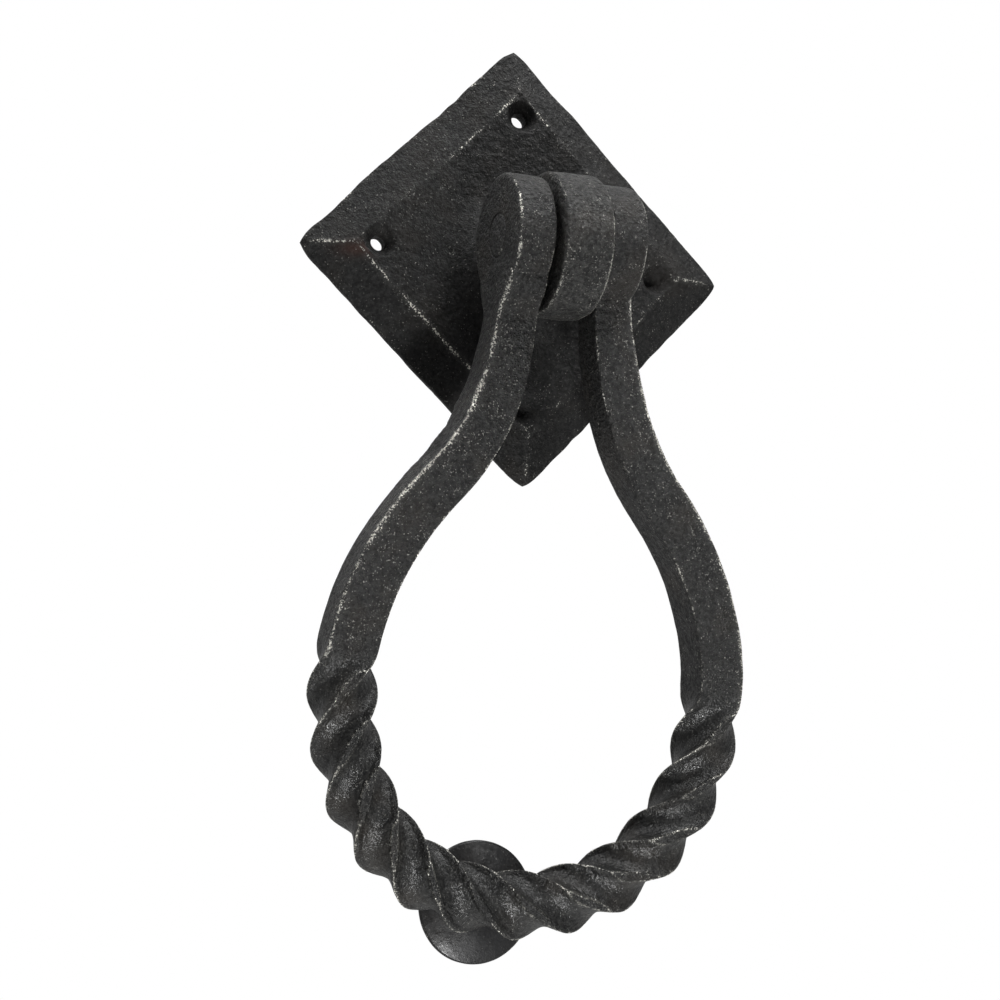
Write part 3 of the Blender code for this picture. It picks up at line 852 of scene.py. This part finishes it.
def make_pin():
    """The pin, its two ends spread into the eyes."""
    left, right = LEFT_EYE[0], RIGHT_EYE[1]
    # One beaten end, from its middle to the shank, as distances inward from the eye's face.
    end = [
        (-PIN_CROWN, 0.4), (-PIN_CROWN * 0.8, PIN_FLAT_RADIUS), (-0.1, PIN_HEAD_RADIUS - 0.5),
        (0.3, PIN_HEAD_RADIUS), (PIN_HEAD_DEPTH, PIN_RADIUS),
    ]
    outline = [(left + x, radius) for x, radius in end]
    outline += [(right - x, radius) for x, radius in reversed(end)]
    profile = dense(outline, PIN_STEP)
    points, turn, radius = lathe(profile, PIN_SIDES)
    x = points[:, 0]
    world = ring_to_world(x, points[:, 2], -points[:, 1])
    pin = new_object("peened_pin", world, solid_faces(len(profile), PIN_SIDES), {
        "edge": np.hypot(radius - PIN_HEAD_RADIUS + 0.4, np.minimum(x - left, right - x)),
        "worn": PIN_WEAR * (np.cos(turn) > 0.2),
    })
    hammer(pin, seed=91, coarse=0.10, fine=0.05, keep=pin_freedom)
    return pin


def pin_freedom(points):
    """Only the two ends are beaten."""
    middle = (LEFT_EYE[0] + RIGHT_EYE[1]) / 2
    reach = (RIGHT_EYE[1] - LEFT_EYE[0]) / 2
    return smooth(reach - 1.5, reach - 0.2, np.abs(points[:, 0] - middle))


def make_stud():
    """The domed stud that the ring strikes, on its spike."""
    low, high = (np.array(corner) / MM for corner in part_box("strike_stud"))
    place = ((low[0] + high[0]) / 2, (low[2] + high[2]) / 2)
    parts = np.linspace(0.02, 1, 26)
    dome = [(STUD_RIM + (STUD_HEIGHT - STUD_RIM) * (1 - p**2), STUD_RADIUS * p) for p in parts]
    rim = [(STUD_RIM * 0.55, STUD_RADIUS + 0.05), (0.25, STUD_RADIUS - 0.1), (0, STUD_RADIUS - 0.4)]
    back = [(0, STUD_RADIUS * p) for p in (0.8, 0.6, 0.4, 0.2)]
    profile = dense([*dome, *rim, *back], STUD_STEP)
    points = turned_out(profile[::-1], STUD_SIDES, place)
    radius = np.hypot(points[:, 0] - place[0], points[:, 2] - place[1])
    stud = new_object("domed_stud", points, solid_faces(len(profile), STUD_SIDES), {
        "edge": np.hypot(STUD_RADIUS - radius, (-points[:, 1] - STUD_RIM)),
        "worn": np.full(len(points), STUD_WEAR),
    })
    combine(stud, spike_block(place, high[1]), "UNION")
    hammer(stud, seed=121, coarse=0.10, fine=0.02, keep=stud_freedom)
    return stud


def spike_block(place, tip):
    """The square spike, drawn to a point inside the door."""
    low = np.array([place[0] - SPIKE_WIDTH / 2, -STUD_RIM / 2, place[1] - SPIKE_WIDTH / 2])
    high = np.array([place[0] + SPIKE_WIDTH / 2, tip, place[1] + SPIKE_WIDTH / 2])
    points, faces = box_grid(low, high, SPIKE_STEP)
    points = np.array(points)
    taper = 1 + (SPIKE_TIP / SPIKE_WIDTH - 1) * (points[:, 1] - low[1]) / (high[1] - low[1])
    for axis, middle in ((0, place[0]), (2, place[1])):
        points[:, axis] = middle + (points[:, axis] - middle) * taper
    return new_object("spike", points, faces, plain_values(len(points)))


def stud_freedom(points):
    """Only what stands off the door is beaten."""
    return np.where(points[:, 1] > -0.2, 0.0, 1.0)


# ---- materials ----


class Graph:
    """A material's nodes, added one at a time and joined as they are made."""

    def __init__(self, material):
        material.use_nodes = True
        self.tree = material.node_tree
        self.shader = self.tree.nodes["Principled BSDF"]

    def node(self, kind, **inputs):
        made = self.tree.nodes.new(kind)
        for key, value in inputs.items():
            self.put(made.inputs[key.replace("_", " ")], value)
        return made

    def put(self, socket, value):
        if isinstance(value, bpy.types.NodeSocket):
            self.tree.links.new(value, socket)
        else:
            socket.default_value = value

    def math(self, operation, first, second=0.0):
        made = self.tree.nodes.new("ShaderNodeMath")
        made.operation = operation
        self.put(made.inputs[0], first)
        self.put(made.inputs[1], second)
        return made.outputs[0]

    def add(self, first, second):
        return self.math("ADD", first, second)

    def less(self, first, second):
        return self.math("SUBTRACT", first, second)

    def times(self, first, second):
        return self.math("MULTIPLY", first, second)

    def step(self, value, low, high):
        """0 below low, 1 above high, smooth between."""
        made = self.node("ShaderNodeMapRange", Value=value, From_Min=low, From_Max=high)
        made.interpolation_type = "SMOOTHSTEP"
        return made.outputs["Result"]

    def between(self, value, low, high):
        """A 0 to 1 value spread from low to high."""
        return self.node("ShaderNodeMapRange", Value=value, To_Min=low, To_Max=high).outputs["Result"]

    def noise(self, vector, scale, detail=2.0, roughness=0.5):
        values = {"Vector": vector, "Scale": scale, "Detail": detail, "Roughness": roughness}
        return self.node("ShaderNodeTexNoise", **values).outputs["Fac"]

    def mix(self, share, first, second):
        made = self.tree.nodes.new("ShaderNodeMix")
        made.data_type = "RGBA"
        self.put(made.inputs[0], share)
        self.put(made.inputs[6], first)
        self.put(made.inputs[7], second)
        return made.outputs[2]

    def value(self, name):
        """One of the mesh's own per-point values."""
        made = self.tree.nodes.new("ShaderNodeAttribute")
        made.attribute_name = name
        return made.outputs["Fac"]


def forged_iron(name, shift, dark, light, roughness, relief=1.0, gloss=0.5, specks=0.7, has_flats=False):
    """Black forged iron: sandy scale, faint warm patches, bright specks, and arrises rubbed bright."""
    material = bpy.data.materials.new(name)
    graph = Graph(material)
    coords = graph.node("ShaderNodeTexCoord").outputs["Object"]
    scale, offset = (1 / MM, 1 / MM, 1 / MM), (shift, 0, shift)
    where = graph.node("ShaderNodeMapping", Vector=coords, Scale=scale, Location=offset).outputs["Vector"]
    grain = graph.noise(where, 1.05, 2.5, 0.7)
    mottle = graph.noise(where, 0.55, 2.0, 0.6)
    tone = graph.add(graph.times(grain, 0.6), graph.times(mottle, 0.4))
    smoothed = graph.value("valley") if has_flats else 0.0
    line, halo = rubbed_arrises(graph, where, has_flats)
    speck = graph.times(bright_specks(graph, where), specks)
    if has_flats:
        speck = graph.times(speck, graph.between(smoothed, 1.0, 0.35))
        relief = graph.between(smoothed, relief, relief * 0.35)

    colour = scale_colour(graph, where, tone, dark, light)
    colour = graph.mix(graph.between(halo, 0.0, 0.35), colour, HANDLED_IRON)
    colour = graph.mix(graph.times(graph.value("rust"), 0.7), colour, RUST)
    metal = graph.math("MAXIMUM", line, speck)
    blotch = graph.noise(where, 0.16, 3.0, 0.6)
    rough = graph.between(blotch, roughness - 0.2, roughness + 0.2)
    rough = graph.add(rough, graph.between(tone, 0.4, -0.4))
    rough = graph.less(rough, graph.times(halo, 0.08))
    if has_flats:
        rough = graph.less(rough, graph.times(smoothed, 0.2))
    fine = graph.noise(where, 2.4, 1.0, 0.6)
    height = graph.add(graph.times(grain, 0.8), graph.times(fine, 0.35))
    height = graph.times(graph.add(height, graph.times(mottle, 1.2)), relief)
    bump = graph.node("ShaderNodeBump", Height=height, Strength=1.0, Distance=BUMP_DEPTH * MM)
    graph.put(graph.shader.inputs["Base Color"], graph.mix(metal, colour, RUBBED_IRON))
    graph.put(graph.shader.inputs["Metallic"], metal)
    graph.put(graph.shader.inputs["Roughness"], rough)
    graph.put(graph.shader.inputs["Normal"], bump.outputs["Normal"])
    graph.shader.inputs["IOR"].default_value = 1.5
    graph.shader.inputs["Specular IOR Level"].default_value = gloss
    return material


def rubbed_arrises(graph, where, has_flats):
    """Bright dots that crowd into a line where an arris is worn, and the paler halo round them."""
    edge = graph.value("edge")
    if has_flats:
        edge = graph.math("MINIMUM", edge, graph.math("ABSOLUTE", graph.value("lens")))
    spread = graph.between(graph.noise(where, 0.12, 1.0), -0.7, 0.7)
    patchy = graph.between(graph.noise(where, 0.5, 1.0), -0.4, 0.4)
    rubbed = graph.add(graph.add(graph.value("worn"), spread), patchy)
    level = graph.step(rubbed, 0.25, 1.15)
    band = graph.between(level, 0.2, 1.05)
    close = graph.less(1.0, graph.step(graph.math("DIVIDE", edge, band), 0.0, 1.0))
    share = graph.times(close, level)
    crowded = graph.add(graph.noise(where, 2.2, 1.5, 0.6), graph.times(share, 0.26))
    line = graph.times(graph.step(crowded, 0.64, 0.80), graph.step(share, 0.05, 0.35))
    halo = graph.times(graph.less(1.0, graph.step(edge, 0.2, 1.8)), level)
    return line, halo


def bright_specks(graph, where):
    """Tiny bright specks, thicker in some patches than in others."""
    crowd = graph.between(graph.noise(where, 0.22, 2.0), 0.12, -0.12)
    sparks = graph.less(graph.noise(where, 2.1, 1.0, 0.6), crowd)
    sparks = graph.add(sparks, graph.times(graph.less(graph.value("worn"), 0.4), 0.05))
    return graph.step(sparks, 0.655, 0.86)


def scale_colour(graph, where, tone, dark, light):
    """The scale's own colour: dark in its pits, and a little browner in wide patches."""
    colour = graph.mix(graph.step(tone, 0.40, 0.62), (*dark, 1), (*light, 1))
    warm = (light[0] * 1.25, light[1] * 1.02, light[2] * 0.82, 1)
    warmth = graph.step(graph.noise(where, 0.07, 2.0), 0.45, 0.75)
    return graph.mix(graph.between(warmth, 0.0, 0.35), colour, warm)


# ---- stage ----


def make_camera(box):
    """Looks up a little at the knocker from the left of its front."""
    low, high = (np.array(corner) / MM for corner in box)
    reach = cos(VIEW_ELEVATION)
    back = Vector((sin(VIEW_AZIMUTH) * reach, -cos(VIEW_AZIMUTH) * reach, sin(VIEW_ELEVATION)))
    level = Vector((cos(VIEW_AZIMUTH), sin(VIEW_AZIMUTH), 0))
    upright = back.cross(level)
    right = level * cos(VIEW_ROLL) - upright * sin(VIEW_ROLL)
    up = level * sin(VIEW_ROLL) + upright * cos(VIEW_ROLL)
    middle = Vector((low + high) / 2)
    eye = middle + back * VIEW_DISTANCE + right * VIEW_OFFSET[0] + up * VIEW_OFFSET[1]
    data = bpy.data.cameras.new("camera")
    data.sensor_width = 36
    data.lens = VIEW_LENS
    data.clip_start = 0.01
    camera = bpy.data.objects.new("camera", data)
    bpy.context.scene.collection.objects.link(camera)
    turn = Matrix((right, up, back)).transposed().to_4x4()
    camera.matrix_world = Matrix.Translation(eye * MM) @ turn
    bpy.context.scene.camera = camera


def add_softbox(name, place, aim, size, power):
    data = bpy.data.lights.new(name, "AREA")
    data.shape = "RECTANGLE"
    data.size, data.size_y = size
    data.energy = power
    light = bpy.data.objects.new(name, data)
    bpy.context.scene.collection.objects.link(light)
    light.location = place
    light.rotation_euler = (Vector(aim) - Vector(place)).to_track_quat("-Z", "Y").to_euler()


def make_room():
    """Soft light from all round, stronger from behind, and plain white to the camera."""
    world = bpy.data.worlds.new("studio")
    bpy.context.scene.world = world
    world.use_nodes = True
    tree = world.node_tree
    shade = tree.nodes["Background"]
    shade.inputs["Color"].default_value = (1, 1, 1, 1)
    link = tree.links.new
    ray = tree.nodes.new("ShaderNodeLightPath")
    coords = tree.nodes.new("ShaderNodeTexCoord")
    split = tree.nodes.new("ShaderNodeSeparateXYZ")
    table = tree.nodes.new("ShaderNodeMapRange")
    link(coords.outputs["Generated"], split.inputs["Vector"])
    link(split.outputs["Y"], table.inputs["Value"])
    for key, number in ROOM_LIGHT.items():
        table.inputs[key].default_value = number
    seen = tree.nodes.new("ShaderNodeMix")
    link(ray.outputs["Is Camera Ray"], seen.inputs["Factor"])
    link(table.outputs["Result"], seen.inputs["A"])
    seen.inputs["B"].default_value = 1.0
    link(seen.outputs["Result"], shade.inputs["Strength"])


def make_floor(height):
    """A square of pale paper, lit up a little to the camera so that it stays pale to its edge."""
    ends = ((-1, -1), (1, -1), (1, 1), (-1, 1))
    mesh = bpy.data.meshes.new("floor")
    mesh.from_pydata([(x * FLOOR_REACH, y * FLOOR_REACH, height) for x, y in ends], [], [(0, 1, 2, 3)])
    floor = bpy.data.objects.new("floor", mesh)
    bpy.context.scene.collection.objects.link(floor)
    paper = bpy.data.materials.new("pale_floor")
    graph = Graph(paper)
    coords = graph.node("ShaderNodeTexCoord").outputs["Object"]
    tone = graph.mix(graph.noise(coords, 9.0, 3.0), (0.83, 0.83, 0.82, 1), (0.87, 0.87, 0.86, 1))
    graph.put(graph.shader.inputs["Base Color"], tone)
    graph.shader.inputs["Roughness"].default_value = 0.8
    graph.shader.inputs["Emission Color"].default_value = (1, 1, 1, 1)
    seen = graph.node("ShaderNodeLightPath").outputs["Is Camera Ray"]
    graph.put(graph.shader.inputs["Emission Strength"], graph.times(seen, 0.6))
    mesh.materials.append(paper)


# ---- build ----

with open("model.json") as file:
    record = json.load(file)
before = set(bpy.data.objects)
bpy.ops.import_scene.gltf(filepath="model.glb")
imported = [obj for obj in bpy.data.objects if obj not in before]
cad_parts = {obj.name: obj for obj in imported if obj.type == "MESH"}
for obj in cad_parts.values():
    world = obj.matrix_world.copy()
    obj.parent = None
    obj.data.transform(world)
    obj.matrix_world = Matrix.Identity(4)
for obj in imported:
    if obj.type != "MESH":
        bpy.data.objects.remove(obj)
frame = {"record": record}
CAD_BOX = [list(corner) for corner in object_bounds()]
HINGE = [value / MM for value in frame["record"]["behaviour"]["joints"][0]["pos_m"]]
KNUCKLE_MIDDLE = sum(KNUCKLE) / 2
PLATE_SIDE = (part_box("back_plate")[1].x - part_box("back_plate")[0].x) / MM / sqrt(2)

finish_mesh(make_plate(), "base", "plate_iron", "back_plate")
finish_mesh(make_lug(), "base", "lug_iron", "hinge_lug")
finish_mesh(make_ring(), "ring", "ring_iron", "knocker_ring")
finish_mesh(make_pin(), "ring", "pin_iron", "pivot_pin")
finish_mesh(make_stud(), "base", "stud_iron", "strike_stud")

cad_low, cad_high = (Vector(corner) for corner in CAD_BOX)
cad_middle = (cad_low + cad_high) / 2
make_camera((cad_low, cad_high))
make_room()
for light_name, (light_place, light_size, light_power) in SOFTBOXES.items():
    add_softbox(light_name, cad_middle + Vector(light_place), cad_middle, light_size, light_power)
make_floor(cad_low.z - FLOOR_DROP)
bpy.context.scene.view_settings.view_transform = "Standard"
